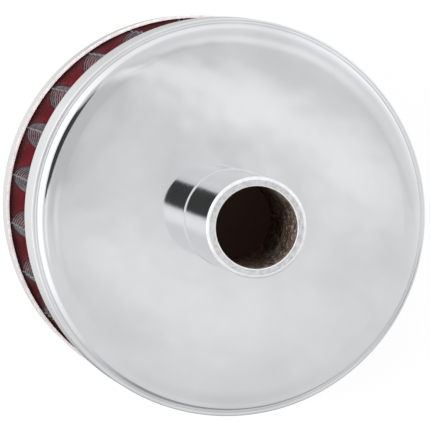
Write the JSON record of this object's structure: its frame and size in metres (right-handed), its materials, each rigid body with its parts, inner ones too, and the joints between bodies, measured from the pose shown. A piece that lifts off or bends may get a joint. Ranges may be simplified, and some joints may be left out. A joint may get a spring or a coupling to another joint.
{
  "type": "crankcase breather filter",
  "caption": "Round crankcase breather filter: chromed stamped dishes at both ends, a pleated pack of gauze and wire screen set in red resin between them, and a plain steel neck.",
  "frame": {"origin": "centre of the closed dish's flat outer face, which is the filter's lowest face as it stands", "axes": "+Z along the filter's axis, out through the neck; +X through the crest of the first pleat"},
  "size_m": [0.0762, 0.0762, 0.0842],
  "materials": {
    "chromed_plate": "bright chrome plate on stamped steel, polished",
    "neck_steel": "chromed outside, bare and brown with rust inside the bore",
    "braze": "dull braze fillet, hidden inside",
    "red_resin": "poured polyurethane resin, dark crimson, softly glossy",
    "screen_wire": "grey coated woven wire",
    "oiled_gauze": "cotton gauze wetted with red filter oil"
  },
  "bodies": {
    "root": {"closed_end_plate": "chromed_plate", "neck_end_plate": "chromed_plate", "neck_tube": "neck_steel", "neck_braze": "braze", "closed_end_resin": "red_resin", "neck_end_resin": "red_resin", "outer_screen": "screen_wire", "gauze_pack": "oiled_gauze", "inner_screen": "screen_wire"}
  },
  "joints": []
}
